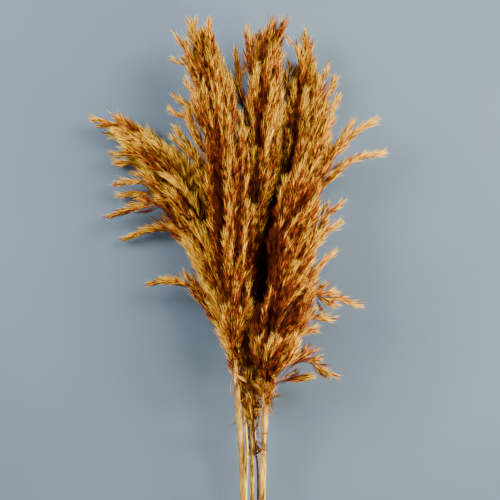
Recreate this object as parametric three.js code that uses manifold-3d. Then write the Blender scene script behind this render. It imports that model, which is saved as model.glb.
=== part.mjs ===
// A loose bundle of five cut and dried plume-grass stems, lying on a flat surface.
//
// Each grass is one stem that carries on up through its plume, a dense plume body around it, and
// the free sprays that stand out of that body. Dry leaf sheaths still clasp three of the stems.
// The plumes are soft masses, so each is a plain closed solid, trimmed where its neighbours press.
//
// Millimetres. X runs across the bundle, Y from the cut ends towards the plume tips, and Z up.
// Points are set out from the middle of the neck, and the last lines move the whole bundle so that
// its origin is the middle of its footprint, on the surface that it lies on.
import * as THREE from "three";
import { mergeVertices } from "three/addons/utils/BufferGeometryUtils.js";
import Module from "manifold-3d";

// ---------------------------------------------------------------- driving dimensions
const CUT_END_Y = -220; // where the stems were cut
const STEM_SCALE = 1; // thickness of every stem against its listed radius
const PLUME_SCALE = 1; // thickness of every plume body against its listed half width
const SPRAY_SCALE = 1; // thickness of every free spray against its listed half width
const GAP = 0.3; // clearance between neighbouring pieces
const FLOOR = 0; // the surface that the bundle lies on

const BODY_DEPTH = 0.8; // a plume body's height against its width
const SPRAY_DEPTH = 0.8; // a spray's height against its width
const RACHIS_REACH = 0.95; // how far up its plume a stem runs, as a share of the plume
const RACHIS_TIP_RADIUS = 0.7; // of a stem at its top end, inside the plume
const NODE_SWELL = 1.12; // a stem's nodes against the stem beside them
const NODE_LENGTH = 5; // of the swelling at a stem's node
const SHEATH_WALL = 0.4;
const SHEATH_EASE = 0.45; // between a sheath and the stem in it

const STEM_SIDES = 12;
const STEM_STEPS = 16;
const BODY_SIDES = 16;
const SPRAY_SIDES = 8;
const BODY_STEPS = 14;
const SPRAY_STEPS = 9;
const SHEATH_STEPS = 6;

// ---------------------------------------------------------------- the five grasses
// stem: x, z and radius at the cut end, then the neck that the stem passes on its way to the plume.
// nodes: the Y of each swollen ring on the stem. plume: the route of the plume, base first.
// halfWidth and widest: the plume body's largest half width, and where along the plume it is.
// foot and head: how blunt the body's two ends are, with smaller numbers for blunter ends.
// sprays: the free sprays, each a half width and its route from inside the plume to its tip.
const GRASSES = [
  {
    name: "upper_left",
    stem: { cut: [-8.5, 3], neck: [[-6.5, 0, 31], [-9.4, 64, 42]], radius: 3, top: 2.1 },
    nodes: [123, -91],
    plume: [[-14, 128, 53], [-16, 200, 63], [-21, 290, 68], [-30, 380, 64], [-40, 430, 58], [-50, 468, 52]],
    halfWidth: 29, widest: 0.55, foot: 0.7, head: 0.45,
    sprays: [
      [4, [[-46, 440, 55], [-54, 462, 52], [-60, 481, 49]]],
      [3, [[-38, 436, 66], [-40, 458, 68], [-40, 479, 68]]],
      [4, [[-48, 425, 62], [-63, 448, 63], [-75, 463, 62]]],
      [6, [[-44, 405, 48], [-60, 430, 46], [-78, 440, 44]]],
      [4, [[-38, 365, 74], [-52, 396, 78], [-64, 418, 79]]],
      [4.5, [[-36, 355, 48], [-55, 385, 44], [-77, 404, 40]]],
      [7, [[-34, 335, 66], [-56, 374, 67], [-80, 389, 66]]],
      [3.5, [[-38, 318, 42], [-58, 350, 38], [-77, 375, 34]]],
      [5, [[-38, 306, 56], [-57, 341, 54], [-77, 363, 52]]],
    ],
  },
  {
    name: "right",
    stem: { cut: [5, 9.2], neck: [[12.9, 0, 38], [14.6, 64, 46]], radius: 3.7, top: 2.6 },
    nodes: [-64],
    plume: [
      [16, 102, 51], [22, 165, 60], [32, 225, 63], [45, 290, 61],
      [58, 345, 58], [67, 375, 55], [74, 393, 53],
    ],
    halfWidth: 32, widest: 0.36, foot: 0.5, head: 1,
    sprays: [
      [5, [[64, 350, 58], [77, 380, 58], [90, 405, 57]]],
      [3.5, [[60, 332, 70], [73, 364, 74], [84, 388, 76]]],
      [3, [[60, 320, 46], [72, 346, 43], [82, 368, 40]]],
      [4, [[62, 312, 38], [84, 349, 34], [105, 380, 29]]],
      [6, [[58, 300, 62], [78, 336, 63], [98, 360, 63], [127, 380, 60]]],
      [5, [[52, 282, 48], [78, 318, 44], [100, 337, 40], [137, 348, 34]]],
      [6, [[45, 245, 58], [68, 272, 60], [93, 299, 60]]],
      [6, [[42, 232, 74], [66, 260, 79], [90, 276, 81]]],
      [5, [[42, 225, 42], [60, 248, 37], [75, 262, 32]]],
      [4, [[45, 200, 34], [66, 228, 28], [87, 249, 22]]],
      [7, [[38, 180, 70], [60, 200, 77], [82, 210, 79]]],
      [6.5, [[22, 168, 48], [45, 198, 46], [75, 203, 46], [111, 193, 42]]],
      [6, [[22, 150, 62], [48, 176, 64], [84, 182, 64]]],
      [6, [[24, 138, 40], [44, 161, 35], [69, 169, 28]]],
      [5, [[26, 130, 64], [40, 151, 71], [54, 161, 75]]],
      [6, [[26, 118, 54], [50, 141, 53], [68, 131, 48], [86, 124, 42]]],
      [5, [[26, 116, 42], [46, 120, 34], [66, 122, 26]]],
    ],
  },
  {
    name: "centre",
    stem: { cut: [0, 2.8], neck: [[2.6, 0, 28], [1.9, 64, 38]], radius: 2.8, top: 1.9 },
    nodes: [37, -130],
    plume: [[1, 103, 44], [0, 170, 44], [-1, 250, 45], [7, 340, 48], [14, 410, 50], [20, 470, 50]],
    halfWidth: 29, widest: 0.6, foot: 0.5, head: 0.5,
    sprays: [
      [4, [[18, 445, 52], [21, 466, 53], [23, 482, 54]]],
      [4, [[4, 425, 54], [-1, 452, 57], [-3, 473, 58]]],
      [4, [[12, 430, 40], [9, 450, 37], [9, 470, 34]]],
      [4.5, [[22, 415, 52], [29, 444, 54], [30, 466, 56]]],
      [5, [[-5, 395, 46], [-12, 428, 46], [-14, 452, 46]]],
    ],
  },
  {
    name: "left",
    stem: { cut: [-4.4, 8.3], neck: [[-4.2, 0, 38.5], [-3.2, 66, 44]], radius: 2.4, top: 1.5 },
    nodes: [44],
    plume: [
      [-8.5, 106, 41.5], [-20, 170, 39], [-36, 232, 32], [-60, 300, 21],
      [-90, 343, 15], [-118, 365, 15], [-140, 375, 16],
    ],
    halfWidth: 25, widest: 0.64, foot: 0.9, head: 0.55,
    sprays: [
      [4, [[-118, 370, 22], [-142, 378, 20], [-162, 380, 18]]],
      [7, [[-70, 318, 26], [-95, 338, 27], [-120, 345, 26], [-139, 346, 24]]],
      [4, [[-62, 300, 15], [-85, 325, 11], [-112, 336, 9], [-139, 338, 8]]],
      [6, [[-55, 284, 27], [-80, 310, 26], [-105, 319, 24], [-138, 315, 21]]],
      [6, [[-50, 268, 19], [-75, 297, 15], [-100, 307, 12], [-134, 304, 9]]],
      [5, [[-48, 268, 37], [-64, 290, 37], [-79, 299, 36], [-97, 300, 34]]],
      [7, [[-42, 246, 31], [-62, 279, 29], [-95, 293, 26], [-145, 283, 20]]],
      [6, [[-38, 224, 22], [-58, 256, 18], [-88, 270, 15], [-130, 260, 10]]],
      [6, [[-28, 176, 38], [-47, 202, 36], [-72, 216, 32], [-104, 215, 26]]],
    ],
  },
  {
    name: "upper_right",
    stem: { cut: [8, 2.1], neck: [[8.6, 0, 19], [8, 38, 24], [4.6, 68, 27]], radius: 2.1, top: 1.5 },
    nodes: [-46],
    plume: [[5, 108, 29], [16, 180, 24], [32, 270, 21], [46, 350, 22], [54, 410, 27], [56, 455, 32]],
    halfWidth: 29, widest: 0.5, foot: 0.6, head: 0.7,
    sprays: [
      [5, [[54, 425, 30], [56, 448, 32], [57, 468, 34]]],
      [3.5, [[54, 420, 36], [50, 442, 40], [45, 456, 43]]],
      [4.5, [[46, 380, 24], [41, 412, 26], [39, 440, 28]]],
      [4.5, [[56, 380, 32], [68, 410, 36], [78, 434, 40]]],
      [5, [[56, 365, 18], [74, 398, 16], [87, 426, 15]]],
    ],
  },
];

// The dry sheaths: which stem, the Y where each starts and ends, and the slit that it wraps round
// to. slit is where the slit faces, in radians from +X towards the surface, and open its width.
const SHEATHS = [
  { grass: "upper_left", from: -86, to: 115, slit: 1.6, open: 0.5 },
  { grass: "right", from: 66, to: 118, slit: 2, open: 0.5 },
  { grass: "centre", from: 43, to: 96, slit: -2.2, open: 2.4 },
];

// ---------------------------------------------------------------- shapes
const wasm = await Module();
wasm.setup();

const toVector = ([x, y, z]) => new THREE.Vector3(x, y, z);
const routeOf = (points) => new THREE.CatmullRomCurve3(points.map(toVector), false, "centripetal");

// A sideways and an upward direction, square to a route at share u of its length.
function squareTo(route, u) {
  const along = route.getTangentAt(u);
  const side = new THREE.Vector3().crossVectors(along, new THREE.Vector3(0, 0, 1)).normalize();
  return { side, up: new THREE.Vector3().crossVectors(side, along) };
}

// Bends a geometry that was made along +Y, from 0 to 1, onto a route: Y picks the place on the
// route, X goes sideways and Z up.
function bendOnto(geometry, route, from = 0, to = 1) {
  const place = geometry.getAttribute("position");
  for (let i = 0; i < place.count; i++) {
    const u = THREE.MathUtils.clamp(from + place.getY(i) * (to - from), 0, 1);
    const { side, up } = squareTo(route, u);
    const point = route.getPointAt(u);
    point.addScaledVector(side, place.getX(i)).addScaledVector(up, place.getZ(i));
    place.setXYZ(i, point.x, point.y, point.z);
  }
  return geometry;
}

// A round-sectioned piece on a route: a turned profile, flattened by depth and bent.
// radiusAt gives the radius at each share of the length.
function turnedOnto(route, radiusAt, shares, sides, depth, grow, from = 0, to = 1) {
  const profile = [new THREE.Vector2(0, 0)];
  for (const t of shares) profile.push(new THREE.Vector2(radiusAt(t) + grow, t));
  profile.push(new THREE.Vector2(0, 1));
  const turned = new THREE.LatheGeometry(profile, sides).scale(1, 1, depth);
  return solidOf(bendOnto(turned, route, from, to));
}

// A geometry as a manifold-3d solid.
function solidOf(geometry) {
  const bare = geometry.clone().deleteAttribute("normal").deleteAttribute("uv");
  const merged = mergeVertices(bare, 1e-4);
  return new wasm.Manifold(
    new wasm.Mesh({
      numProp: 3,
      vertProperties: merged.getAttribute("position").array,
      triVerts: new Uint32Array(merged.index.array),
    }),
  );
}

// The largest piece of a solid that cuts may have parted.
function largest(solid) {
  return solid.decompose().reduce((a, b) => (b.volume() > a.volume() ? b : a));
}

// A solid as a named three.js mesh.
function meshOf(name, solid, material) {
  const { vertProperties, triVerts, numProp } = solid.getMesh();
  const geometry = new THREE.BufferGeometry();
  const place = new THREE.InterleavedBuffer(vertProperties, numProp);
  geometry.setAttribute("position", new THREE.InterleavedBufferAttribute(place, 3, 0));
  geometry.setIndex(new THREE.BufferAttribute(triVerts, 1));
  const flat = geometry.toNonIndexed();
  flat.computeVertexNormals();
  const mesh = new THREE.Mesh(flat, material);
  mesh.name = name;
  return mesh;
}

// Evenly spaced shares of a length, the first and last of them this far in from its two ends.
const evenly = (steps, inset) =>
  Array.from({ length: steps + 1 }, (_, i) => inset + ((1 - 2 * inset) * i) / steps);

// ---------------------------------------------------------------- stems
// The whole route of a stem: cut end, neck and on up through its plume.
function stemRoute(grass) {
  const [x, z] = grass.stem.cut;
  return routeOf([[x, CUT_END_Y, z], ...grass.stem.neck, ...grass.plume]);
}

// The share of a route's length at which it passes a given Y.
function shareAtY(route, y) {
  let low = 0;
  let high = 1;
  for (let i = 0; i < 40; i++) {
    const middle = (low + high) / 2;
    if (route.getPointAt(middle).y < y) low = middle;
    else high = middle;
  }
  return low;
}

// Where a stem stops on its route, inside its plume.
function stemEnd(grass, route) {
  const foot = shareAtY(route, grass.plume[0][1]);
  return foot + (1 - foot) * RACHIS_REACH;
}

// The stem's radius at share u of its route: an even taper up to the plume, and on to its top end.
function stemRadius(grass, route) {
  const foot = shareAtY(route, grass.plume[0][1]);
  const end = stemEnd(grass, route);
  const { radius, top } = grass.stem;
  return (u) => STEM_SCALE * (u < foot
    ? THREE.MathUtils.lerp(radius, top, u / foot)
    : THREE.MathUtils.lerp(top, RACHIS_TIP_RADIUS, (u - foot) / (end - foot)));
}

// A stem with its swollen nodes, each a ring with a short slope on both sides.
function stemSolid(grass, grow = 0) {
  const route = stemRoute(grass);
  const end = stemEnd(grass, route);
  const plain = stemRadius(grass, route);
  const slope = NODE_LENGTH / 2 / route.getLength();
  const rings = grass.nodes.map((y) => shareAtY(route, y));
  const shares = evenly(STEM_STEPS, 0);
  for (const ring of rings) {
    for (const k of [-1, -0.2, 0.2, 1]) shares.push((ring + k * slope) / end);
  }
  shares.sort((a, b) => a - b);
  const swell = (u) => (rings.some((ring) => Math.abs(u - ring) < slope / 2) ? NODE_SWELL : 1);
  const radiusAt = (t) => plain(t * end) * swell(t * end);
  const solid = turnedOnto(route, radiusAt, shares, STEM_SIDES, 1, grow, 0, end);
  return solid.trimByPlane([0, 0, 1], FLOOR);
}

// ---------------------------------------------------------------- plume bodies
// Half width at share t: it swells from the foot to the widest place and closes at the head.
function bodyHalfWidth({ halfWidth, widest, foot, head }) {
  return (t) => {
    const below = t < widest;
    const off = below ? 1 - t / widest : (t - widest) / (1 - widest);
    return PLUME_SCALE * halfWidth * Math.max(0, 1 - off * off) ** (below ? foot : head);
  };
}

function bodySolid(grass, grow = 0) {
  const route = routeOf(grass.plume);
  const shares = evenly(BODY_STEPS, 0.012);
  const solid = turnedOnto(route, bodyHalfWidth(grass), shares, BODY_SIDES, BODY_DEPTH, grow);
  return solid.trimByPlane([0, 0, 1], FLOOR - grow);
}

// ---------------------------------------------------------------- free sprays
// A spray is a little slimmer at its root, full over its first half and drawn to a point.
function sprayHalfWidth(halfWidth) {
  return (t) => SPRAY_SCALE * halfWidth * (0.6 + 0.9 * t) * Math.max(0.03, 1 - t ** 1.8);
}

function spraySolid([halfWidth, points], grow = 0) {
  const shares = evenly(SPRAY_STEPS, 0.01);
  const width = sprayHalfWidth(halfWidth);
  const solid = turnedOnto(routeOf(points), width, shares, SPRAY_SIDES, SPRAY_DEPTH, grow);
  return solid.trimByPlane([0, 0, 1], FLOOR);
}

// ---------------------------------------------------------------- leaf sheaths
// A sheath's route, its two ends on it and its inner radius.
function sheathFit({ grass: name, from, to }) {
  const grass = GRASSES.find((g) => g.name === name);
  const route = stemRoute(grass);
  const [start, stop] = [from, to].map((y) => shareAtY(route, y));
  const inner = stemRadius(grass, route)(start) + SHEATH_EASE;
  return { route, start, stop, inner };
}

// A thin C-shaped wall, swept along the stem that it clasps.
function sheathSolid(sheath) {
  const { route, start, stop, inner } = sheathFit(sheath);
  const outer = inner + SHEATH_WALL;
  const { slit, open } = sheath;
  const [a, b] = [slit + open / 2, slit - open / 2 + 2 * Math.PI];
  const section = new THREE.Shape();
  section.absarc(0, 0, outer, a, b, false);
  section.absarc(0, 0, inner, b, a, true);
  const wall = new THREE.ExtrudeGeometry(section, {
    depth: 1, steps: SHEATH_STEPS, bevelEnabled: false, curveSegments: 6,
  });
  wall.rotateX(-Math.PI / 2);
  return solidOf(bendOnto(wall, route, start, stop));
}

// The room that a sheath takes up, for its neighbours to keep out of.
function sheathRoom(sheath) {
  const { route, start, stop, inner } = sheathFit(sheath);
  const margin = GAP / route.getLength();
  const radius = () => inner + SHEATH_WALL;
  const shares = evenly(SHEATH_STEPS, 0);
  return turnedOnto(route, radius, shares, STEM_SIDES, 1, GAP, start - margin, stop + margin);
}

// ---------------------------------------------------------------- materials
const culm = new THREE.MeshStandardMaterial({ color: 0xd9b266, roughness: 0.45, metalness: 0 });
const sheathLeaf = new THREE.MeshStandardMaterial({ color: 0xc49a55, roughness: 0.6, metalness: 0 });
const plumeFluff = new THREE.MeshStandardMaterial({ color: 0xc08434, roughness: 0.8, metalness: 0 });

// ---------------------------------------------------------------- the bundle
// Stems come first, then sheaths, bodies and sprays. Each soft solid gives way to all before it.
const bundle = new THREE.Group();
const pressing = []; // grown copies of what is already there

for (const grass of GRASSES) {
  bundle.add(meshOf(`stem_${grass.name}`, stemSolid(grass), culm));
  pressing.push(stemSolid(grass, GAP));
}
const stems = wasm.Manifold.union(pressing);

for (const sheath of SHEATHS) {
  const solid = largest(sheathSolid(sheath).subtract(stems));
  bundle.add(meshOf(`sheath_${sheath.grass}`, solid, sheathLeaf));
  pressing.push(sheathRoom(sheath));
}
for (const grass of GRASSES) {
  const solid = largest(bodySolid(grass).subtract(wasm.Manifold.union(pressing)));
  bundle.add(meshOf(`plume_${grass.name}`, solid, plumeFluff));
  pressing.push(bodySolid(grass, GAP));
}
for (const grass of GRASSES) {
  grass.sprays.forEach((spray, i) => {
    const solid = largest(spraySolid(spray).subtract(wasm.Manifold.union(pressing)));
    bundle.add(meshOf(`spray_${grass.name}_${i + 1}`, solid, plumeFluff));
    pressing.push(spraySolid(spray, GAP));
  });
}

// Moves the origin to the middle of the footprint, on the surface.
const box = new THREE.Box3().setFromObject(bundle);
bundle.position.set(-(box.min.x + box.max.x) / 2, -(box.min.y + box.max.y) / 2, -box.min.z);

export default bundle;
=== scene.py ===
import bpy
import numpy as np
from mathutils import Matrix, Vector
from mathutils.bvhtree import BVHTree


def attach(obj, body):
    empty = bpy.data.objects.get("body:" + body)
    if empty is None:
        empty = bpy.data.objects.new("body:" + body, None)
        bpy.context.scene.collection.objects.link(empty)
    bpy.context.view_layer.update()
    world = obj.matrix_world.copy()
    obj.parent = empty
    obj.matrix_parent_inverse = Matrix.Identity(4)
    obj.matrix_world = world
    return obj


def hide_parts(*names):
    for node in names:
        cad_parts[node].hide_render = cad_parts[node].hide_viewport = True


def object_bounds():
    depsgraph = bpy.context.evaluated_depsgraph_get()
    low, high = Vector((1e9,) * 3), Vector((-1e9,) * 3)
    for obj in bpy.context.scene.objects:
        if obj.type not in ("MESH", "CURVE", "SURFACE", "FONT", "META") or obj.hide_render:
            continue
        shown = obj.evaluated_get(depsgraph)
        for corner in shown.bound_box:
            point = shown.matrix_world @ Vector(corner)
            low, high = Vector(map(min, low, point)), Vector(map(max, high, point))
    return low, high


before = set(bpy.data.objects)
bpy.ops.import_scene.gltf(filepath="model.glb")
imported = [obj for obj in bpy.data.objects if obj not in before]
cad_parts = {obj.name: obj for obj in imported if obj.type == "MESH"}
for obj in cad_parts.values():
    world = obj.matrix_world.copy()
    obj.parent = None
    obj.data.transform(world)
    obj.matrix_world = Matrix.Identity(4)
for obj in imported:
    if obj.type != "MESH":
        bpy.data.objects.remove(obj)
cad_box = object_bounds()

# ---------------------------------------------------------------- the stems
# A reed culm is a hollow straw of woody grass, glossy and finely ribbed along its length, with a
# swollen ring at each node. It was cut across with shears, and carries on up through its plume as
# the rachis, the thin stalk that the plume's branches grow from.
GRASSES = ("upper_left", "right", "centre", "left", "upper_right")
CULM_SIDES = 20
CULM_RINGS = 260
HOLLOW_SHARE = 0.62  # of the culm's radius
HOLLOW_DEPTH = 0.030  # from the cut to the first woody partition
NODE_LENGTH = 0.0045
DYE_LINE = 0.012  # from a plume's foot to where its dye begins
NODE_SWELL = 0.14  # of the culm's radius
NODE_PINCH = 0.5 * NODE_SWELL  # the narrowing just past each node
RACHIS_SHARE = 0.6  # of the radius that its stem ends with
# How broad the straw's streaks, blotches and specks are.
STREAK_MM = 1.6
BLOTCH_MM = 9.0
SPECK_MM = 1.1
# How far each stem's nodes are from its cut end.
STEM_NODES = {
    "upper_left": (0.129, 0.343),
    "right": (0.156, 0.268),
    "centre": (0.090, 0.257),
    "left": (0.060, 0.264),
    "upper_right": (0.030, 0.174),
}


def corners_of(node):
    """The places of a CAD node's vertices, each once."""
    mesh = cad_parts[node].data
    places = np.empty(len(mesh.vertices) * 3)
    mesh.vertices.foreach_get("co", places)
    return np.unique(places.reshape(-1, 3).round(6), axis=0)


def unit(vectors):
    """Each vector over its own length."""
    return vectors / np.maximum(np.linalg.norm(vectors, axis=-1, keepdims=True), 1e-12)


def along(points, shares):
    """Points at these shares of a polyline's length, on a curve through its corners.

    Between corners b and c, the curve is the Catmull-Rom cubic of a, b, c and d."""
    points = np.asarray(points, float)
    ends = 2 * points[[0, -1]] - points[[1, -2]]
    held = np.concatenate([ends[:1], points, ends[1:]])
    steps = np.linalg.norm(np.diff(points, axis=0), axis=1)
    reached = np.concatenate([[0], np.cumsum(steps)]) / steps.sum()
    shares = np.clip(shares, 0, 1)
    span = np.clip(np.searchsorted(reached, shares, "right") - 1, 0, len(steps) - 1)
    t = ((shares - reached[span]) / (reached[span + 1] - reached[span]))[:, None]
    a, b, c, d = (held[span + k] for k in range(4))
    return 0.5 * (2 * b + (c - a) * t + (2 * a - 5 * b + 4 * c - d) * t**2
                  + (3 * b - a - 3 * c + d) * t**3)


def across(path):
    """For each point of a path: the way along it, the way to its side, level with the ground, and
    the way up, square to both."""
    forward = unit(np.gradient(path, axis=0))
    side = unit(np.cross(forward, (0, 0, 1)))
    return forward, side, np.cross(side, forward)


def culm_line(node):
    """The middle and the radius of each ring of a CAD stem. Its vertices, taken in order along Y,
    are parted wherever two lie over 3 mm apart, and each part is one ring."""
    places = corners_of(node)
    places = places[np.argsort(places[:, 1])]
    rings = np.split(places, np.flatnonzero(np.diff(places[:, 1]) > 0.003) + 1)
    middles = np.array([ring.mean(0) for ring in rings])
    radii = [np.median(np.linalg.norm(r - m, axis=1)) for r, m in zip(rings, middles)]
    return middles, np.array(radii)


def grid_faces(rows, columns):
    """Triangles over a grid of rows by columns of vertices that closes on itself sideways."""
    row, column = np.mgrid[0:rows - 1, 0:columns]
    here = row * columns + column
    beside = row * columns + (column + 1) % columns
    lower = np.stack([here, beside, beside + columns], -1)
    upper = np.stack([here, beside + columns, here + columns], -1)
    return np.concatenate([lower, upper], -2).reshape(-1, 3)


def at_distance(distance, gone, values):
    """A path's points, or its directions, at these distances along it."""
    return np.stack([np.interp(distance, gone, values[:, k]) for k in range(3)], -1)


def tube(route, side, up, radii, sides):
    """A tube: at each point of the route, a ring of this radius, the cosine of its angle to the
    side and the sine up. Gives vertices and triangles, closed at both ends."""
    angle = np.arange(sides) * 2 * np.pi / sides
    ring = (np.cos(angle)[None, :, None] * side[:, None]
            + np.sin(angle)[None, :, None] * up[:, None])
    skin = (route[:, None] + ring * radii[:, None, None]).reshape(-1, 3)
    rim = np.arange(sides)
    after = (rim + 1) % sides
    top = (len(route) - 1) * sides
    first_cap = np.stack([np.full(sides, len(skin)), after, rim], 1)
    last_cap = np.stack([np.full(sides, len(skin) + 1), rim + top, after + top], 1)
    return (np.concatenate([skin, route[[0, -1]]]),
            np.concatenate([grid_faces(len(route), sides), first_cap, last_cap]))


def new_piece(name, vertices, triangles, material, uv=None):
    """A smooth-shaded mesh object of these triangles. uv, if any, is each vertex's place in its
    map."""
    mesh = bpy.data.meshes.new(name)
    mesh.vertices.add(len(vertices))
    mesh.vertices.foreach_set("co", np.ascontiguousarray(vertices, np.float32).ravel())
    mesh.loops.add(triangles.size)
    mesh.loops.foreach_set("vertex_index", triangles.astype(np.int32).ravel())
    mesh.polygons.add(len(triangles))
    mesh.polygons.foreach_set("loop_start", np.arange(0, triangles.size, 3, dtype=np.int32))
    mesh.polygons.foreach_set("use_smooth", np.ones(len(triangles), bool))
    if uv is not None:
        layer = mesh.uv_layers.new(name="OFBake")
        layer.uv.foreach_set("vector", uv[triangles.ravel()].astype(np.float32).ravel())
    mesh.update(calc_edges=True)
    mesh.materials.append(material)
    piece = bpy.data.objects.new(name, mesh)
    bpy.context.scene.collection.objects.link(piece)
    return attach(piece, "root")


def linear(colour):
    """An sRGB hex colour as the linear numbers that a shader takes."""
    c = np.array([int(colour[i:i + 2], 16) for i in (1, 3, 5)]) / 255
    c = np.where(c <= 0.04045, c / 12.92, ((c + 0.055) / 1.055) ** 2.4)
    return (*c.tolist(), 1.0)


def add(tree, kind, links=(), **settings):
    """Adds a shader node. links is (input, socket) pairs, and the settings whose names are those
    of inputs set them, while the others set the node itself."""
    node = tree.nodes.new(kind)
    for name, value in settings.items():
        if hasattr(node, name):
            setattr(node, name, value)
        else:
            node.inputs[name.replace("_", " ")].default_value = value
    for name, socket in links:
        tree.links.new(socket, node.inputs[name])
    return node


def ramp(tree, factor, stops):
    """A colour ramp with these (place, hex colour) stops."""
    node = add(tree, "ShaderNodeValToRGB", [("Fac", factor)])
    elements = node.color_ramp.elements
    while len(elements) < len(stops):
        elements.new(0.5)
    for element, (place, colour) in zip(elements, stops):
        element.position = place
        element.color = linear(colour)
    return node.outputs["Color"]


def new_material(name):
    """An empty material: its tree and its surface shader."""
    material = bpy.data.materials.new(name)
    material.use_nodes = True
    shader = material.node_tree.nodes["Principled BSDF"]
    return material, material.node_tree, shader


def straw_material(name, ribs_colours):
    """Dried reed culm: a waxy, woody skin. Fine ribs and broader streaks run along it and fade over
    some centimetres, and age left blotches and small brown specks."""
    material, tree, shader = new_material(name)
    place = add(tree, "ShaderNodeTexCoord").outputs["Object"]
    lengthwise = add(tree, "ShaderNodeMapping", [("Vector", place)], Scale=(1, 0.035, 1))
    streak = add(tree, "ShaderNodeTexNoise", [("Vector", lengthwise.outputs[0])],
                 Scale=1000 / STREAK_MM, Detail=4.0, Roughness=0.6)
    blotch = add(tree, "ShaderNodeMapping", [("Vector", place)], Scale=(1, 0.3, 1))
    cloud = add(tree, "ShaderNodeTexNoise", [("Vector", blotch.outputs[0])],
                Scale=1000 / BLOTCH_MM, Detail=3.0)
    base = ramp(tree, streak.outputs["Fac"], list(zip((0.36, 0.46, 0.54, 0.64), ribs_colours)))
    shade = ramp(tree, cloud.outputs["Fac"], [(0.38, "#7C5A30"), (0.54, "#FFFFFF")])
    toned = add(tree, "ShaderNodeMix", data_type="RGBA", blend_type="MULTIPLY")
    toned.inputs[0].default_value = 0.7
    tree.links.new(base, toned.inputs[6])
    tree.links.new(shade, toned.inputs[7])
    specks = add(tree, "ShaderNodeMapping", [("Vector", place)], Scale=(1, 0.45, 1))
    dots = add(tree, "ShaderNodeTexNoise", [("Vector", specks.outputs[0])],
               Scale=1000 / SPECK_MM, Detail=1.0)
    marked = ramp(tree, dots.outputs["Fac"], [(0.66, "#FFFFFF"), (0.72, "#7A5228")])
    final = add(tree, "ShaderNodeMix", data_type="RGBA", blend_type="MULTIPLY")
    final.inputs[0].default_value = 0.75
    tree.links.new(toned.outputs[2], final.inputs[6])
    tree.links.new(marked, final.inputs[7])
    tree.links.new(final.outputs[2], shader.inputs["Base Color"])
    bump = add(tree, "ShaderNodeBump", [("Height", streak.outputs["Fac"])],
               Strength=0.35, Distance=0.0002)
    tree.links.new(bump.outputs[0], shader.inputs["Normal"])
    shader.inputs["Roughness"].default_value = 0.32
    shader.inputs["Coat Weight"].default_value = 0.9
    shader.inputs["Coat Roughness"].default_value = 0.2
    shader.inputs["IOR"].default_value = 1.5
    return material


straw = straw_material("dried reed straw", ("#4A260C", "#A8741E", "#F2C42E", "#FFE63C"))
# The upper right plume's stem is coloured dark brown.
dark_brown_straw = straw_material("dark brown reed straw", ("#1A0C04", "#3C200A", "#704418", "#9C6C26"))
culms = {}
for grass in GRASSES:
    middles, radii = culm_line("stem_" + grass)
    body = corners_of("plume_" + grass)
    onward = unit(middles[-1] - middles[-2])
    tip = body[np.argmax((body - middles[-1]) @ onward)]
    shares = np.linspace(0, 1, CULM_RINGS)
    path = along(np.concatenate([middles, tip[None]]), shares)
    gone = np.concatenate([[0], np.cumsum(np.linalg.norm(np.diff(path, axis=0), axis=1))])
    corner_gone = [gone[np.argmin(np.linalg.norm(path - m, axis=1))] for m in middles]
    plain = np.minimum.accumulate(radii)
    radius = np.interp(gone, corner_gone, plain)
    radius[gone > corner_gone[-1]] = plain[-1] * RACHIS_SHARE
    culms[grass] = {"path": path, "gone": gone, "radius": radius}

    # The plume's dye took to the stalk too, so that the straw ends a little way inside the plume.
    foot = np.linalg.norm(body[:, None] - path[None], axis=-1).argmin(1).min()
    culms[grass]["foot"] = foot
    straw_end = gone[foot] + DYE_LINE
    # The outer skin from the cut to the dye, with closer rings at the nodes.
    at_nodes = [n + d for n in STEM_NODES[grass] for d in np.linspace(-1, 1, 9) * NODE_LENGTH]
    stations = np.sort(np.concatenate([gone[gone < straw_end], at_nodes, [straw_end]]))
    swell = 0
    for n in STEM_NODES[grass]:
        past = stations - n
        ring = np.exp(-((past / (NODE_LENGTH / 3)) ** 2))
        pinch = np.exp(-(((past - 0.6 * NODE_LENGTH) / (NODE_LENGTH / 6)) ** 2))
        swell = swell + (NODE_SWELL * ring - NODE_PINCH * pinch)
    skin_radius = np.interp(stations, gone, radius) * (1 + swell)
    # The hollow behind the cut: in from the partition, out over the rim and back along the skin.
    inside = HOLLOW_SHARE * radius[0]
    hollow = np.array([HOLLOW_DEPTH, HOLLOW_DEPTH, 0.0])
    distance = np.concatenate([hollow, stations])
    width = np.concatenate([[0.1 * inside, inside, inside], skin_radius])
    _, side, up = across(path)
    route, side, up = (at_distance(distance, gone, v) for v in (path, side, up))
    vertices, faces = tube(route, side, up, width, CULM_SIDES)
    vertices[:, 2] = np.maximum(vertices[:, 2], 0)
    skin_material = dark_brown_straw if grass == "upper_right" else straw
    piece = new_piece("culm_" + grass, vertices, faces, skin_material)
    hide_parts("stem_" + grass)

# ---------------------------------------------------------------- the leaf sheaths
# The foot of each leaf is a papery sheath that wraps the culm and laps over itself. It dries dull
# and ribbed, and its upper edge is torn where the leaf blade was stripped off.
SHEATH_COLUMNS = 40
SHEATH_ROWS = 60
SHEATH_THICKNESS = 0.00035
SHEATH_EASE = 0.0005  # between the culm's skin and the sheath
SHEATH_FLARE = 0.05  # how much wider it is at its top, against its radius
SHEATH_WAVE = 0.03
SHEATH_RIB_MM = 1.1
SHEATH_PATCH_MM = 6.2


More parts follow.
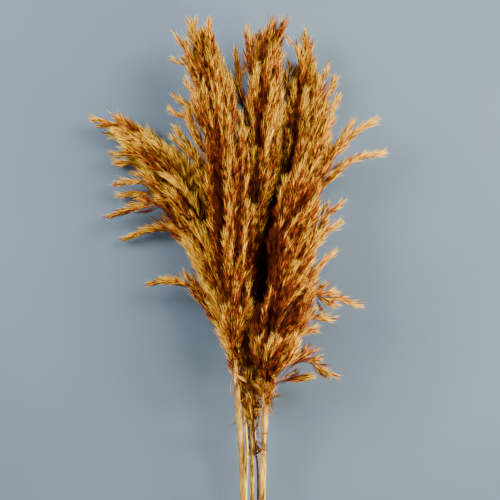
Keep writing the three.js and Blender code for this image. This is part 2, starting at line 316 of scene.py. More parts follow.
def sheath_material(name, ribs_colours):
    """Dried reed sheath: dull papery leaf, ribbed along its length, and greyed and blotched brown
    by age. The ribs are drawn about 1 mm broad, coarser than real ones, so that they show."""
    material, tree, shader = new_material(name)
    place = add(tree, "ShaderNodeTexCoord").outputs["Object"]
    lengthwise = add(tree, "ShaderNodeMapping", [("Vector", place)], Scale=(1, 0.03, 1))
    ribs = add(tree, "ShaderNodeTexNoise", [("Vector", lengthwise.outputs[0])],
               Scale=1000 / SHEATH_RIB_MM, Detail=3.0, Roughness=0.65)
    patch = add(tree, "ShaderNodeMapping", [("Vector", place)], Scale=(1, 0.25, 1))
    cloud = add(tree, "ShaderNodeTexNoise", [("Vector", patch.outputs[0])],
                Scale=1000 / SHEATH_PATCH_MM, Detail=4.0)
    base = ramp(tree, ribs.outputs["Fac"], list(zip((0.32, 0.48, 0.66), ribs_colours)))
    age = ramp(tree, cloud.outputs["Fac"],
               [(0.34, "#76562C"), (0.50, "#DCCB96"), (0.62, "#FFFFFF")])
    toned = add(tree, "ShaderNodeMix", data_type="RGBA", blend_type="MULTIPLY")
    toned.inputs[0].default_value = 0.8
    tree.links.new(base, toned.inputs[6])
    tree.links.new(age, toned.inputs[7])
    tree.links.new(toned.outputs[2], shader.inputs["Base Color"])
    bump = add(tree, "ShaderNodeBump", [("Height", ribs.outputs["Fac"])],
               Strength=0.5, Distance=0.0002)
    tree.links.new(bump.outputs[0], shader.inputs["Normal"])
    shader.inputs["Roughness"].default_value = 0.62
    return material


def open_grid_faces(rows, columns):
    """Triangles over an open grid of rows by columns of vertices."""
    row, column = np.mgrid[0:rows - 1, 0:columns - 1]
    here = row * columns + column
    beside, above = here + 1, here + columns
    return np.concatenate([np.stack([here, beside, above + 1], -1).reshape(-1, 3),
                           np.stack([here, above + 1, above], -1).reshape(-1, 3)])


def thickened(piece):
    """Gives a sheet the thickness of its papery leaf, half of it to each side."""
    thick = piece.modifiers.new("paper", "SOLIDIFY")
    thick.thickness = SHEATH_THICKNESS
    thick.offset = 0


def wrapped_leaf(culm, low, high, slit, opening, tear, seed):
    """A sheet wound round a culm between two distances along it, clear of its skin by the ease. Its
    angle runs once round from the slit, and its upper edge drops by a sum of sines of the angle.
    It flares by the sixth power of the way up, and waves by a sine of the angle."""
    rng = np.random.default_rng(seed)
    turn = np.linspace(0, 1, SHEATH_COLUMNS)
    angle = slit + opening / 2 + turn * (2 * np.pi - opening)
    jag = np.abs(sum(rng.normal(0, 1 / k) * np.sin(2 * np.pi * k * turn + rng.uniform(0, 6))
                     for k in range(1, 10)))
    top = high - tear * jag / jag.max()
    rise = np.linspace(0, 1, SHEATH_ROWS) ** 0.9
    distance = low + rise[:, None] * (top - low)[None, :]
    at = culm["gone"]
    radius = np.interp(distance, at, culm["radius"]) + SHEATH_EASE
    wave = SHEATH_WAVE * np.sin(9 * turn * np.pi)[None, :] * rise[:, None]
    flare = radius * (1 + SHEATH_FLARE * rise[:, None] ** 6 + wave)
    _, side, up = across(culm["path"])
    middle, side, up = (at_distance(distance, at, v) for v in (culm["path"], side, up))
    way = np.cos(angle)[None, :, None] * side + np.sin(angle)[None, :, None] * up
    sheet = middle + flare[..., None] * way
    return sheet.reshape(-1, 3), open_grid_faces(SHEATH_ROWS, SHEATH_COLUMNS)


sheath_leaf = sheath_material("dried leaf sheath", ("#7C5820", "#C2963E", "#F2CC62"))
# The centre stem's sheath is a dark brown strip down one side.
dark_brown_leaf = sheath_material("dark brown leaf sheath", ("#2A1408", "#5E3212", "#A0662A"))
# For each sheath: where its slit faces, how wide it is open and how deep its edge is torn.
SHEATHS = {
    "upper_left": (-1.6, 0.35, 0.006),
    "right": (-2.0, 0.5, 0.004),
    "centre": (2.2, 2.6, 0.022),
}
for order, (grass, (slit, opening, tear)) in enumerate(SHEATHS.items()):
    culm = culms[grass]
    places = corners_of("sheath_" + grass)
    nearest = np.argmin(np.linalg.norm(places[:, None] - culm["path"][None], axis=-1), axis=1)
    low, high = culm["gone"][nearest].min(), culm["gone"][nearest].max()
    vertices, faces = wrapped_leaf(culm, low, high, slit, opening, tear, order)
    leaf = dark_brown_leaf if grass == "centre" else sheath_leaf
    piece = new_piece("leaf_sheath_" + grass, vertices, faces, leaf)
    thickened(piece)
    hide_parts("sheath_" + grass)

# ---------------------------------------------------------------- the plumes
# A plume is the reed's flower head. Branches grow all round the rachis and sweep up beside it, and
# each carries short branchlets set with spikelets: a few pointed husks with silky hairs between
# them. The heads were dried and dyed golden brown.
REACH_STATIONS = 40
REACH_WAYS = 24
SEARCH = 0.09  # further out than any plume's surface
BRANCHES = 135  # on one plume
FOOT_TUFTS = 26  # short branches round a plume's foot
BRANCHLET_EVERY = 0.0044  # along a branch
SPIKELET_EVERY = 0.0028  # along a branchlet
FLUFF = 0.005  # how far spikelets stand out from the outermost branches
TIP_FLUFF = 0.014  # how far they pass the end of a branch
GOLDEN_TURN = 2.39996
# A branch's length near the plume's tip, and how much more it is in the plume's middle.
BRANCH_MM = 42
MIDDLE_MM = 46
# The branches round the plume's foot: their lengths, and the share of the plume they grow over.
TUFT_MM = (26, 48)
TUFT_SHARE = 0.060
TUFT_PALER = 0.2
# Most branches end near the plume's surface, and the others inside it. A fill of 1 is the surface.
OUTER_SHARE = 0.78
OUTER_FILL = (0.84, 1.0)
INNER_FILL = (0.35, 0.84)
# Branches whose angle has a sine below this grow on the plume's underside, where some are missing.
UNDERSIDE = -0.55
UNDERSIDE_KEPT = 0.5
BRANCH_DRIFT = 0.22  # how unevenly branches turn round the rachis as they rise, in radians
BRANCH_SPREAD = 0.22  # of branchlets from their branch, in radians
BRANCH_RADIUS = 0.00050
TWIG_LENGTHS = (0.015, 0.023)  # of the branchlets on different branches
TWIG_RADIUS = 0.00018
# How unevenly branchlets spread and how unlike their lengths are, against the usual, and how much
# shorter they are at a branch's tip.
TWIG_SPREADS = (0.5, 1.3)
TWIG_UNEVEN = (0.75, 1.2)
TWIG_TAPER = 0.80
GROWN_WITHIN = (0.2, 0.8)  # where each one grows in its own part of what carries it
SPIKELET_LEAN = 0.10  # out from its branchlet at the most, in radians
SPIKELET_SIZES = (0.7, 1.15)
SPIKELET_BEND = 0.08
BEND_SPAN = 0.013  # how far along a spikelet it is bent aside by its bend times this
CLEARANCE = 0.0002  # of a spikelet above the ground
HUSK_SIDES = 3
HUSK_WAIST = 0.4  # of its length, where a husk is widest
RACHIS_SIDES = 12
RACHIS_LAP = 0.004  # how far the rachis runs back inside the straw
RACHIS_FIT = 0.97  # the rachis's radius against the culm's
# How much a husk's paleness, from 0 to 1, owes to the place along it, paler at its tip partly as a
# painted highlight, and to its own tone, which holds painted shade and light.
DYE_AND_HIGHLIGHT_ALONG = 0.34
DYE_OVER = 0.74
DYE_CONTRAST = 1.45
DYE_DEPTH = 0.35
# The right plume leans away from the others, which leaves a deep dark parting between them.
PARTING_MM = ((35.0, 172.0), (15.0, 36.0))
PARTING_HALF_MM = 13.0
PARTING_SHADE = 0.6
PARTING_FLOOR = 0.052
# Where a branch is deeper in the parting than this, for more than this share of it, it isn't there.
PARTED_DEPTH = 0.3
PARTED_SHARE = 0.35
# How pale each plume's dye is, from 0 to 1. The left plume's is also raised as painted light,
# standing in for the light that falls on it.
DYES_AND_PAINTED_LIGHT = {"upper_left": 0.32, "right": 0.32, "centre": 0.22, "left": 0.70, "upper_right": 0.24}
# How much paler a plume is painted towards its tip: painted light, and painted shade at its foot.
TIP_PAINTED_LIGHT = 0.74
DEPTH_PAINTED_SHADE = 0.9  # how much paler it is painted towards its surface: painted shade deeper inside
# How long each plume's branches are beside the longest plumes' branches.
LENGTHS = {"upper_left": 1.0, "right": 0.78, "centre": 1.0, "left": 0.82, "upper_right": 0.9}
# How much darker a branch is painted at its foot and on its inner side, as painted shade where
# others cover it, and how unevenly branches, branchlets and husks took the dye.
FOOT_PAINTED_SHADE = 1.15
INNER_PAINTED_SHADE = 0.30
BRANCH_TONES = 0.12
TWIG_TONES = 0.06
HUSK_TONES = 0.20
# Branches cling together in locks. A wave of darker and paler branches round and along the plume
# is painted shade in the hollows between them.
LOCK_PAINTED_SHADE = 0.16
LOCKS_ROUND = 5
LOCKS_ALONG = 3.5
# How far each plume's branches turn towards its right (less than 0) or its left, in radians.
SWEEPS = {"upper_left": -0.20, "right": -1.15, "centre": 0.05, "left": 1.20, "upper_right": -0.35}
# The map keeps clear of its edges, and puts neighbouring vertices a step apart across it.
MAP_EDGE = 0.02
MAP_SPAN = 0.93
MAP_STEP = 0.012


def dyed_plume_material():
    """Dyed and dried reed spikelets: thin, silky husks. The map's first axis runs from a husk's
    foot to its tip, and the second is how pale it is, by its dye and by painted light and shade."""
    material, tree, shader = new_material("dyed reed plume")
    place = add(tree, "ShaderNodeUVMap", uv_map="OFBake")
    parts = add(tree, "ShaderNodeSeparateXYZ", [("Vector", place.outputs[0])])
    # The dye is deepest, and reddest, at a husk's foot. Its thin tip stays near the reed's straw,
    # and its paleness there is partly a painted highlight.
    reached = add(tree, "ShaderNodeMath", [(0, parts.outputs["X"])], operation="MULTIPLY")
    reached.inputs[1].default_value = DYE_AND_HIGHLIGHT_ALONG
    paleness = add(tree, "ShaderNodeMath", [(0, parts.outputs["Y"]), (2, reached.outputs[0])],
                   operation="MULTIPLY_ADD")
    paleness.inputs[1].default_value = DYE_OVER
    dyed = ramp(tree, paleness.outputs[0],
                [(0.10, "#200904"), (0.28, "#4E1A0E"), (0.44, "#802C18"), (0.60, "#B45422"),
                 (0.76, "#E68C20"), (0.90, "#FFC22A"), (1.0, "#FFF25C")])
    tree.links.new(dyed, shader.inputs["Base Color"])
    shader.inputs["Roughness"].default_value = 0.45
    shader.inputs["Specular IOR Level"].default_value = 0.20
    shader.inputs["Specular Tint"].default_value = linear("#FFC46A")
    return material


def husk(length, width, lean, tilt, start, aside):
    """A closed three-sided spindle, widest at two fifths of its length. It points along Y, leaned
    to the side and tilted up or down. Gives its vertices, triangles and places from foot to tip."""
    angle = np.arange(HUSK_SIDES) * 2 * np.pi / HUSK_SIDES + lean * 5
    point = np.array([np.sin(lean), np.cos(lean), np.sin(tilt)]) * length
    foot = np.array([aside, start, -4 * tilt])
    round_it = np.stack([np.cos(angle), 0 * angle, np.sin(angle)], 1)
    waist = foot + HUSK_WAIST * point + width / 2 * round_it
    vertices = np.concatenate([foot[None], waist, (foot + point)[None]])
    rim = np.arange(HUSK_SIDES) + 1
    after = rim % HUSK_SIDES + 1
    lower = np.stack([np.zeros(HUSK_SIDES, int), rim, after], 1)
    upper = np.stack([np.full(HUSK_SIDES, HUSK_SIDES + 1), after, rim], 1)
    reached = np.array([0, *[HUSK_WAIST] * HUSK_SIDES, 1])
    return vertices, np.concatenate([lower, upper]), reached


def joined(parts):
    """Lists of vertices, of faces and of any maps as one of each."""
    vertices, faces, *maps = zip(*parts)
    offset = np.cumsum([0] + [len(v) for v in vertices[:-1]])
    faces = [f + o for f, o in zip(faces, offset)]
    return [np.concatenate(each) for each in (vertices, faces, *maps)]


def spikelet_shape():
    """One spikelet, in mm, along Y: a long husk, three shorter ones that lean apart from it and a
    silky hair. Gives vertices, triangles, each vertex's place from foot to tip, and how much paler
    its husk is than the spikelet as a whole."""
    # Each one's length, width, lean, tilt, start and aside.
    parts = [husk(*sizes) for sizes in (
        (15.5, 0.80, 0.02, 0.04, 0.0, 0.0),
        (12.5, 0.74, 0.10, -0.08, 3.4, 0.9),
        (13.0, 0.70, -0.12, 0.09, 1.6, -0.8),
        (11.0, 0.66, -0.03, -0.14, 5.0, -0.3),
        (15.0, 0.36, 0.18, 0.13, 2.4, 0.5),
    )]
    paler = np.repeat((0.38, -0.40, 0.06, -0.60, 0.46), [len(v) for v, _, _ in parts])
    return *joined(parts), paler


SHAPE, SHAPE_FACES, SHAPE_REACHED, SHAPE_PALER = spikelet_shape()


def framed(forward, roll):
    """For each direction, a side and a face direction square to it, turned round it by roll."""
    level = np.where(np.abs(forward[:, 2:]) > 0.95, (1.0, 0, 0), (0, 0, 1.0))
    side = unit(np.cross(forward, level))
    face = np.cross(side, forward)
    turn = np.cos(roll)[:, None], np.sin(roll)[:, None]
    return turn[0] * side + turn[1] * face, turn[0] * face - turn[1] * side


def dye_map(reached, dye):
    """The map of vertices at these places from foot to tip, with this paleness."""
    apart = MAP_STEP * (np.arange(len(reached)) % 3)
    over = MAP_EDGE + MAP_SPAN * dye + apart
    return np.stack([np.broadcast_to(reached, over.shape), over], -1)


def set_spikelets(foot, forward, size, bend, tone, rng):
    """Spikelets at these feet, pointing forward: the shape is turned, sized, bent sideways by the
    square of the distance along it, and lifted clear of the ground."""
    side, face = framed(forward, rng.uniform(0, 2 * np.pi, len(foot)))
    x, y, z = SHAPE.T / 1000
    curve = bend[:, None] * (y[None] / BEND_SPAN) ** 2 * BEND_SPAN
    places = foot[:, None] + size[:, None, None] * (
        (x[None] + curve)[..., None] * side[:, None]
        + y[None, :, None] * forward[:, None] + z[None, :, None] * face[:, None])
    sunk = np.minimum(places[..., 2].min(1) - CLEARANCE, 0)
    places[..., 2] -= sunk[:, None]
    faces = SHAPE_FACES[None] + (np.arange(len(foot)) * len(SHAPE))[:, None, None]
    # The tone holds painted shade and light as well as dye.
    dye = np.clip(DYE_CONTRAST * (tone[:, None] + SHAPE_PALER) - DYE_DEPTH, 0, 1)
    uv = dye_map(SHAPE_REACHED, dye)
    return places.reshape(-1, 3), faces.reshape(-1, 3), uv.reshape(-1, 2)


def thin_stalks(paths, radius, tone):
    """Three-sided stalks along paths, all with as many points, drawn to a point at both ends."""
    count, steps = paths.shape[:2]
    forward = unit(np.gradient(paths, axis=1))
    side = unit(np.cross(forward, (0.1, 0.2, 1)))
    up = np.cross(side, forward)
    angle = np.arange(3) * 2 * np.pi / 3
    thin = radius * np.sin(np.pi * np.linspace(0.04, 0.98, steps)) ** 0.5
    ring = (np.cos(angle)[None, None, :, None] * side[:, :, None]
            + np.sin(angle)[None, None, :, None] * up[:, :, None])
    places = paths[:, :, None] + thin[None, :, None, None] * ring
    last = steps * 3 - 1
    ends = [[2, 1, 0], [last - 2, last - 1, last]]
    faces = np.concatenate([grid_faces(steps, 3), ends])[None]
    faces = faces + (np.arange(count) * steps * 3)[:, None, None]
    reached = np.repeat(np.linspace(0.1, 0.5, steps), 3)
    uv = dye_map(reached, np.clip(tone[:, None], 0, 1))
    places[..., 2] = np.maximum(places[..., 2], 0.0003)
    return places.reshape(-1, 3), faces.reshape(-1, 3), uv.reshape(-1, 2)


def parted(places):
    """How deep in the parting places are, seen from above: 1 on its line, and 0 where they are as
    far from it as its half width, which narrows to nothing at both ends as the root of a sine."""
    start, end = np.array(PARTING_MM) / 1000
    line = end - start
    share = np.clip(((places[..., :2] - start) @ line) / (line @ line), 0, 1)
    away = np.linalg.norm(places[..., :2] - start - share[..., None] * line, axis=-1)
    half = PARTING_HALF_MM / 1000 * np.sin(np.pi * share) ** 0.5
    return np.clip(1 - away / np.maximum(half, 0.0001), 0, 1)


def clothed(paths, outward, reach, spread, tone, rng, every=BRANCHLET_EVERY, start=0.10):
    """Branches as spikelets. Along each path, branchlets leave in a spiral at about spread radians,
    as long as reach gives and shorter near the tip, and bend back towards the branch. Spikelets sit
    along each branchlet and lean out from it by turns. They are painted darker at a branch's foot
    and on the side away from outward, as painted shade. Gives a list of vertices, faces and maps."""
    count = len(paths)
    length = np.linalg.norm(np.diff(paths, axis=1), axis=2).sum(1)
    number = np.maximum(np.round(length * (1 - start) / every).astype(int), 3)
    branch = np.repeat(np.arange(count), number)
    order = np.arange(len(branch)) - np.repeat(np.cumsum(number) - number, number)
    within = rng.uniform(*GROWN_WITHIN, len(branch))
    share = start + (1 - start) * (order + within) / number[branch]
    share[order == number[branch] - 1] = 0.99

    def at(values, where, index):
        place = where * (values.shape[1] - 1)
        low = np.minimum(place.astype(int), values.shape[1] - 2)
        part = (place - low)[:, None]
        return values[index, low] * (1 - part) + values[index, low + 1] * part

    tangents = unit(np.gradient(paths, axis=1))
    foot = at(paths, share, branch)
    forward = unit(at(tangents, share, branch))
    side, _ = framed(forward, order * GOLDEN_TURN + rng.uniform(0, 6.28, count)[branch])
    angle = spread * rng.uniform(*TWIG_SPREADS, len(branch)) * (1 - 0.6 * share**2)
    out = unit(np.cos(angle)[:, None] * forward + np.sin(angle)[:, None] * side)
    long = (reach[branch] * (1.05 - TWIG_TAPER * share**1.5)
            * rng.uniform(*TWIG_UNEVEN, len(branch)))
    q = np.linspace(0, 1, 4)[None, :, None]
    twigs = foot[:, None] + long[:, None, None] * q * (
        out[:, None] * (1 - 0.4 * q) + forward[:, None] * 0.4 * q)
    outside = (side * at(outward, share, branch)).sum(1)
    # Painted shade: branchlets are darker near their branch's foot and on its inner side.
    twig_tone = (tone[branch] + FOOT_PAINTED_SHADE * (share - 0.77) + INNER_PAINTED_SHADE * outside
                 + rng.normal(0, TWIG_TONES, len(branch)))

    per_twig = np.maximum(np.round(long / SPIKELET_EVERY).astype(int), 1) + 1
    deep = (parted(twigs) * (twigs[..., 2] > PARTING_FLOOR)).max(1)
    per_twig[deep > rng.uniform(0.5, 1.2, len(twigs))] = 0
    twig_tone -= PARTING_SHADE * parted(twigs).max(1) ** 0.5
    twig = np.repeat(np.arange(len(branch)), per_twig)
    turn = np.arange(len(twig)) - np.repeat(np.cumsum(per_twig) - per_twig, per_twig)
    within = rng.uniform(*GROWN_WITHIN, len(twig))
    where = np.clip((turn + within) / per_twig[twig], 0, 1) * 0.95
    base = at(twigs, where, twig)
    heading = unit(at(unit(np.gradient(twigs, axis=1)), where, twig))
    lean_side, _ = framed(heading, turn * np.pi + rng.normal(0, 0.9, len(twig)))
    lean = rng.uniform(0.0, SPIKELET_LEAN, len(twig))
    pointing = unit(np.cos(lean)[:, None] * heading + np.sin(lean)[:, None] * lean_side)
    size = rng.uniform(*SPIKELET_SIZES, len(twig))
    bend = rng.normal(0, SPIKELET_BEND, len(twig))
    own_tone = twig_tone[twig] + rng.normal(0, HUSK_TONES, len(twig))
    return [
        set_spikelets(base, pointing, size, bend, own_tone, rng),
        thin_stalks(twigs[per_twig > 0], TWIG_RADIUS, 0.4 * twig_tone[per_twig > 0]),
        thin_stalks(paths, BRANCH_RADIUS, 0.6 * tone),
    ]


def plume_reach(node, path):
    """How far a CAD plume's surface is from its rachis, by place along it and way round it. A ray
    comes in from outside at each, and stops at the surface."""
    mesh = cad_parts[node].data
    mesh.calc_loop_triangles()
    faces = [tuple(t.vertices) for t in mesh.loop_triangles]
    tree = BVHTree.FromPolygons([v.co for v in mesh.vertices], faces)
    _, side, up = across(path)
    angles = np.arange(REACH_WAYS) * 2 * np.pi / REACH_WAYS
    found = np.zeros((len(path), REACH_WAYS))
    for i, point in enumerate(path):
        for k, angle in enumerate(angles):
            way = np.cos(angle) * side[i] + np.sin(angle) * up[i]
            hit = tree.ray_cast(Vector(point + way * SEARCH), Vector(-way), SEARCH)
            if hit[0] is not None:
                found[i, k] = SEARCH - hit[3]
    return found


def looked_up(grid, share, angle):
    """A value from a grid of share along by angle round, in straight lines between its points."""
    row = np.clip(share, 0, 1) * (len(grid) - 1)
    column = (angle / (2 * np.pi)) % 1 * grid.shape[1]
    low, left = np.minimum(row.astype(int), len(grid) - 2), column.astype(int) % grid.shape[1]
    fy, fx = row - low, column - np.floor(column)
    right = (left + 1) % grid.shape[1]
    return ((grid[low, left] * (1 - fx) + grid[low, right] * fx) * (1 - fy)
            + (grid[low + 1, left] * (1 - fx) + grid[low + 1, right] * fx) * fy)


def branch_paths(rachis, reach, foot, length, angle, fill, drift, steps=16):
    """Branches beside a rachis. At share t of a branch, it is foot + t * length of the way up the
    plume, and 1 - (1 - t)^1.3 of the way out to fill times the plume's reach there."""
    t = np.linspace(0, 1, steps)[None]
    share = foot[:, None] + t * length[:, None]
    way = angle[:, None] + drift[:, None] * t**1.2
    out = fill[:, None] * (1 - (1 - t) ** 1.3) * looked_up(reach, np.minimum(share, 1), way)
    over = np.maximum(share - 1, 0)
    place = np.clip(share, 0, 1) * (len(rachis) - 1)
    low = np.minimum(place.astype(int), len(rachis) - 2)
    part = (place - low)[..., None]
    forward, side, up = across(rachis)
    total = np.linalg.norm(np.diff(rachis, axis=0), axis=1).sum()
    middle, forward, side, up = (v[low] * (1 - part) + v[low + 1] * part
                                 for v in (rachis, forward, side, up))
    outward = np.cos(way)[..., None] * side + np.sin(way)[..., None] * up
    return middle + (over * total)[..., None] * forward + out[..., None] * outward, outward


dyed_plume = dyed_plume_material()
rachises = {}
for order, grass in enumerate(GRASSES):
    rng = np.random.default_rng(40 + order)
    culm = culms[grass]
    first = culm["foot"]
    rachis = along(culm["path"][first:], np.linspace(0, 1, REACH_STATIONS))
    reach = plume_reach("plume_" + grass, rachis)
    reach = (np.roll(reach, 1, 1) + 2 * reach + np.roll(reach, -1, 1)) / 4
    total = np.linalg.norm(np.diff(rachis, axis=0), axis=1).sum()
    rachises[grass] = rachis
    started = culm["gone"] > culm["gone"][first] + DYE_LINE - RACHIS_LAP
    started[-6:] = False
    inside = culm["path"][started]
    _, side, up = across(inside)
    skin, faces = tube(inside, side, up, RACHIS_FIT * culm["radius"][started], RACHIS_SIDES)
    dye = 0.1 + 0.02 * (np.arange(len(skin)) % 3)
    uv = np.stack([0.3 + 0.4 * np.linspace(0, 1, len(skin)), dye], 1)
    piece = new_piece("rachis_" + grass, skin, faces, dyed_plume, uv)
    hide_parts("stem_" + grass)

    # The reach that branches may have, so that their spikelets end at the plume's surface.
    inner = np.maximum(reach - FLUFF, 0.3 * reach)
    tip_share = 1 - TIP_FLUFF / total
    foot = (np.arange(BRANCHES) + rng.uniform(0, 1, BRANCHES)) / BRANCHES
    foot = 0.93 * foot**0.95
    millimetres = BRANCH_MM + MIDDLE_MM * np.sin(np.pi * np.clip(foot + 0.12, 0, 1)) ** 1.2
    millimetres *= rng.uniform(0.75, 1.15, BRANCHES) * LENGTHS[grass]
    angle = np.arange(BRANCHES) * GOLDEN_TURN + rng.normal(0, 0.45, BRANCHES)
    fill = np.where(rng.uniform(size=BRANCHES) < OUTER_SHARE,
                    rng.uniform(*OUTER_FILL, BRANCHES), rng.uniform(*INNER_FILL, BRANCHES))
    # Fewer grow on the side that lies on the ground, where the mass is pressed flat.
    kept = (np.sin(angle) > UNDERSIDE) | (rng.uniform(size=BRANCHES) < UNDERSIDE_KEPT)
    foot, millimetres, angle, fill = (v[kept] for v in (foot, millimetres, angle, fill))
    tufts = np.arange(FOOT_TUFTS) / FOOT_TUFTS
    foot = np.concatenate([foot, TUFT_SHARE * tufts])
    millimetres = np.concatenate([millimetres, rng.uniform(*TUFT_MM, FOOT_TUFTS)])
    angle = np.concatenate([angle, np.arange(FOOT_TUFTS) * GOLDEN_TURN])
    fill = np.concatenate([fill, rng.uniform(0.6, 1.0, FOOT_TUFTS)])
    count = len(foot)
    length = np.minimum(millimetres / 1000 / total, tip_share - foot)
    drift = rng.normal(0, BRANCH_DRIFT, count) + SWEEPS[grass] * np.sin(angle)
    paths, outward = branch_paths(rachis, inner, foot, length, angle, fill, drift)
    deep = (parted(paths) > PARTED_DEPTH) & (paths[..., 2] > PARTING_FLOOR)
    over = deep.mean(1) > PARTED_SHARE
    tone = rng.normal(DYES_AND_PAINTED_LIGHT[grass], BRANCH_TONES, count)
    # Painted shade: branches deeper inside are darker. Painted light: the plume is paler towards
    # its tip.
    tone = tone + DEPTH_PAINTED_SHADE * (fill - 0.92) + TIP_PAINTED_LIGHT * (foot**2 - 0.12)
    tone[-FOOT_TUFTS:] += TUFT_PALER
    # Painted shade: a wave of darker branches round and along the plume, in the hollows between
    # locks.
    tone += LOCK_PAINTED_SHADE * np.sin(LOCKS_ROUND * angle + LOCKS_ALONG * 2 * np.pi * foot + order)
    twig = rng.uniform(*TWIG_LENGTHS, count) * (1.1 - 0.30 * foot)
    lower = foot < np.median(foot)
    for half, chosen in (("lower", lower & ~over), ("upper", ~lower & ~over)):
        parts = clothed(paths[chosen], outward[chosen], twig[chosen], BRANCH_SPREAD,
                        tone[chosen], rng)
        vertices, faces, uv = joined(parts)
        piece = new_piece(f"plume_{grass}_{half}", vertices, faces, dyed_plume, uv)
        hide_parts("plume_" + grass)

# ---------------------------------------------------------------- the free sprays
# The longest branches stand clear of the mass, one by one. They are the same as the others, with
# their branchlets drawn in close, so that each looks like a slender braid.
# A spray's branchlets: the longest may be this, and they grow with its half width and by a length.
SPRAY_REACH = 0.021
SPRAY_BY_WIDTH = 2.3
SPRAY_BY_LENGTH = 0.011
SPRAY_SPREAD = 0.36  # of its branchlets, in radians
SPRAY_TWIG_EVERY = 0.0030
SPRAY_DYE = 0.64  # how pale it is, from 0 to 1
SPRAY_POINTS = 20
BARE_SHARE = 0.34  # of a spray, from the rachis
# The left plume's sprays are fuller, and branch from nearer the rachis than the others do.
SPRAY_FULLNESS = {"left": 1.12}
SPRAY_BARE = {"left": 0.10}
# A spray leaves the rachis this far below the place that it comes nearest to, and further down by
# this many times the distance between the two.
ROOT_DOWN = 0.03
ROOT_SLANT = 0.9


def spray_line(node, steps=7):
    """The middle of a CAD spray, root first, and its half width. Its vertices are sorted along the
    line from root to tip into slices, and each slice is averaged."""
    places = corners_of(node)
    middle = places.mean(0)
    longest = np.linalg.eigh(np.cov((places - middle).T))[1][:, -1]
    along_it = (places - middle) @ longest
    slices = (along_it - along_it.min()) / np.ptp(along_it) * steps
    slices = np.clip(slices, 0, steps - 1).astype(int)
    held = [places[slices == k] for k in range(steps) if (slices == k).sum() > 2]
    line = np.array([h.mean(0) for h in held])
    ends = places[[np.argmin(along_it), np.argmax(along_it)]]
    line = np.concatenate([ends[:1], line, ends[1:]])
    width = max(np.linalg.norm(h - h.mean(0), axis=1).mean() for h in held)
    return line, width


for order, grass in enumerate(GRASSES):
    rng = np.random.default_rng(90 + order)
    rachis = rachises[grass]
    nodes = sorted(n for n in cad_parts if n.startswith("spray_" + grass + "_"))
    paths, widths = [], []
    for node in nodes:
        line, width = spray_line(node)
        gaps = np.linalg.norm(line[[0, -1]][:, None] - rachis[None], axis=-1).min(1)
        if gaps[0] > gaps[1]:
            line = line[::-1]
        # The hidden part runs back to the rachis, on the same slant, some way further down.
        nearest = np.argmin(np.linalg.norm(rachis - line[0], axis=1))
        step = np.linalg.norm(rachis[1] - rachis[0])
        down = ROOT_DOWN + ROOT_SLANT * np.linalg.norm(rachis[nearest] - line[0])
        back = max(int(nearest - down / step), 0)
        line = np.concatenate([rachis[back][None], line[1:]])
        whole = np.linalg.norm(np.diff(line, axis=0), axis=1).sum()
        end = 1 - 0.9 * TIP_FLUFF / whole
        paths.append(along(line, np.linspace(0, end, SPRAY_POINTS)))
        widths.append(width)
    paths, widths = np.array(paths), np.array(widths)
    outward = unit(paths - paths[:, :1] + (0, 0, 0.02))
    tone = rng.normal(SPRAY_DYE, BRANCH_TONES, len(nodes))
    twigs = np.minimum(SPRAY_BY_WIDTH * widths + SPRAY_BY_LENGTH, SPRAY_REACH)
    twigs = twigs * SPRAY_FULLNESS.get(grass, 1)
    parts = clothed(paths, outward, twigs, SPRAY_SPREAD, tone, rng, every=SPRAY_TWIG_EVERY,
                    start=SPRAY_BARE.get(grass, BARE_SHARE))
    vertices, faces, uv = joined(parts)
    piece = new_piece(f"sprays_{grass}", vertices, faces, dyed_plume, uv)
    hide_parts(*nodes)

# ---------------------------------------------------------------- the scraps at the neck
# Where the plumes begin, papery bracts dry and curl, and loose husks and a few pale threads cling
# to the straw. They lie on the stems, held only by their own roughness.
BRACT_ROWS = 9
BRACT_COLUMNS = 5
BRACT_LENGTHS = (0.009, 0.016)
BRACT_WIDTHS = (0.003, 0.0045)
NECK_TOP = 0.022  # how far up inside a plume its scraps begin
THREAD_LENGTH = 0.022
THREAD_RADIUS = 0.00022
REMNANT_UP = 0.270  # from the stem's cut
REMNANT_STRIPS = 14
STRIP_WIDTHS = (0.003, 0.0048)
# For each grass: bracts, loose husks, threads, and how far down the stem they reach.
NECKS = {
    "upper_left": (3, 40, 1, 0.012),
    "right": (2, 120, 1, 0.014),
    "centre": (4, 150, 2, 0.038),
    "left": (2, 110, 1, 0.030),
    "upper_right": (2, 110, 1, 0.026),
}


def curled_bracts(foot, forward, side, face, length, width, curl):
    """Papery strips. At share t, a strip is length * t forward and curls off its face by curl times
    t squared, its half width is that of a pointed oval, and it is hollow across like a gutter."""
    t = np.linspace(0, 1, BRACT_ROWS)[None, :, None]
    a = np.linspace(-1, 1, BRACT_COLUMNS)[None, None, :]
    length, width, curl = (v[:, None, None] for v in (length, width, curl))
    along_it = length * t * (1 - 0.25 * np.abs(curl) * t) + 0 * a
    across_it = a * width / 2 * np.sin(np.pi * (0.10 + 0.86 * t)) ** 0.7
    off = curl * length * t**2 + 0.35 * width * a**2 * np.sin(np.pi * t)
    sheet = (foot[:, None, None] + along_it[..., None] * forward[:, None, None]
             + across_it[..., None] * side[:, None, None] + off[..., None] * face[:, None, None])
    faces = open_grid_faces(BRACT_ROWS, BRACT_COLUMNS)[None]
    faces = faces + (np.arange(len(foot)) * BRACT_ROWS * BRACT_COLUMNS)[:, None, None]
    return sheet.reshape(-1, 3), faces.reshape(-1, 3)


